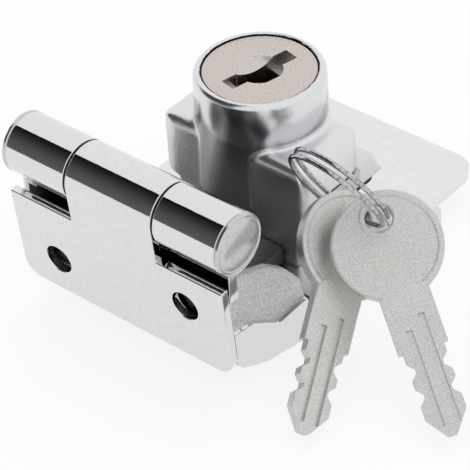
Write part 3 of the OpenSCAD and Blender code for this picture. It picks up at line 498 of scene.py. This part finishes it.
# Nickel-plated spring steel: bright, with the grey patches of drawn wire.
spring_steel = plated("spring_steel", "#C2C3C5", "#8E8F92", 0.08, 0.1, wire_grain)
ring = new_object("key_ring", bm, spring_steel)
dress(ring, "ring", "chrome", "key_ring")

# The keys: stamped from nickel silver strip. The die leaves a rim around the bow, a collar around the ring
# hole and a thicker neck, and the blade is milled with two grooves on each face. Both hang on the ring.
bow_r, key_half_t, key_rounding, hole_out, hole_r = (v * MM for v in (8.5, 0.9, 0.12, 4.4, 2.1))
rim_h, rim_w, rim_flank, rim_round, rim_root, collar_w = (v * MM for v in (0.12, 1.0, 0.06, 0.1, 0.1, 0.85))
rim_shoulder_h = rim_h * 0.7
raised_bands = ((0, bow_r - rim_w, bow_r - key_rounding),
                (hole_out, hole_r + rim_round, hole_r + collar_w))
neck_half_w, neck_top_half_w = 3.8 * MM, 3.0 * MM
neck_top_y, neck_side_y, neck_foot_y = -6.8 * MM, -8.2 * MM, -11.2 * MM
neck_outline = ((-neck_top_half_w, neck_top_y), (-neck_half_w, neck_side_y), (-neck_half_w, neck_foot_y),
                (neck_half_w, neck_foot_y), (neck_half_w, neck_side_y), (neck_top_half_w, neck_top_y))
neck_h, neck_root, point_y, tumble_grain = 0.26 * MM, 0.15 * MM, -28.2 * MM, 0.2 * MM
# Nickel silver, tumbled after stamping: an even, grey sparkle. The tumbling is drawn coarser than it is.
key_nickel = plated("nickel_silver", "#D8D7D5", "#C0BFBD", 0.38, 0.5, tumble_grain)
for key, body, bow, turn in (("key_front", "front_key", (32.07, -9.91, 19.8), (35.9, -10.4, 52.2)),
                             ("key_back", "back_key", (25.45, -10.93, 17.2), (37.0, 34.2, 44.9))):
    bow_turn = Euler([radians(a) for a in turn]).to_matrix().to_4x4()
    bow_place = Matrix.Translation(Vector(bow) * MM) @ bow_turn
    bm = edged_bmesh(key, key_rounding, lambda place: (bow_place.inverted() @ place).y < point_y)
    for face in (0, pi):
        face_place = bow_place @ Matrix.Rotation(face, 4, "Y")
        for middle, inner, outer in raised_bands:
            spun_band(bm, face_place @ Matrix.Translation((0, middle, key_half_t)),
                      ((inner - rim_flank, -rim_root), (inner, rim_shoulder_h), (inner + rim_round, rim_h),
                       (outer - rim_round, rim_h), (outer, rim_shoulder_h), (outer + rim_flank, -rim_root)))
        neck = [bm.verts.new((x, y, key_half_t + neck_h * (y - neck_foot_y) / (neck_top_y - neck_foot_y)))
                for x, y in neck_outline]
        sunk = bmesh.ops.extrude_face_region(bm, geom=[bm.faces.new(neck)], use_keep_orig=True)["geom"]
        sunk = [v for v in sunk if isinstance(v, bmesh.types.BMVert)]
        bmesh.ops.translate(bm, verts=sunk, vec=(0, 0, -neck_root))
        bmesh.ops.recalc_face_normals(bm, faces=list({f for v in sunk + neck for f in v.link_faces}))
        bmesh.ops.transform(bm, matrix=face_place, verts=sunk + neck)
    dress(new_object(key, bm, key_nickel), body, "nickel", key)

# The small pieces inside and underneath: turned rivets and screws, pressed washers, the cover, the bolt with
# its cam, the wafers with their springs, the pad and the grub screws' tips. They keep their solids and take
# only a finish: yellow brass, black oxide, a soft grey nickel, and moulded rubber and nylon.
plain_brass = plated("plain_brass", "#B79B57", "#A2874A", 0.3, 0.1)
black_steel = plated("blackened_steel", "#4A4A4B", "#3A3A3B", 0.35, 0.1)
plain_nickel = plated("plain_nickel", "#C4C3BF", "#B2B1AD", 0.3, 0.1)
cloud_size, cloud_h = 0.6 * MM, 0.1 * MM
moulded = []
# Moulded rubber and nylon: matt, and a little cloudy. The clouds are drawn stronger than they are.
for name, colour, shade, roughness in (("black_rubber", "#2A2A2B", "#212122", 0.75),
                                       ("natural_nylon", "#E6E2D7", "#DDD8CB", 0.5)):
    material, tree, output = new_material(name)
    where = add_node(tree, "ShaderNodeTexCoord")
    cloud = add_node(tree, "ShaderNodeTexNoise", {"Vector": where.outputs["Object"], "Scale": 1 / cloud_size})
    tone = add_node(tree, "ShaderNodeMix", {"Factor": cloud.outputs["Fac"], "A": linear(shade),
                                            "B": linear(colour)}, data_type="RGBA")
    bump = add_node(tree, "ShaderNodeBump", {"Height": cloud.outputs["Fac"], "Strength": 0.2,
                                             "Distance": cloud_h})
    skin = add_node(tree, "ShaderNodeBsdfPrincipled", {"Base Color": tone.outputs["Result"],
                                                       "Roughness": roughness, "Normal": bump.outputs[0]})
    tree.links.new(skin.outputs[0], output.inputs["Surface"])
    moulded.append(material)
rubber, nylon = moulded
finishes = {bright_steel: ("plate_rivets", "leaf_rivets"), plain_brass: ("wafer_tumblers",),
            black_steel: ("hinge_washers",),
            plain_nickel: ("neck_screws", "bolt_cover", "cover_screws", "grub_screws", "wafer_springs",
                           "drive_cam", "cam_screw", "lock_bolt"),
            rubber: ("glass_pad",), nylon: ("grub_tips",)}
for finish, nodes in finishes.items():
    for node in nodes:
        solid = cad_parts[node]
        solid.data.materials.clear()
        solid.data.materials.append(finish)
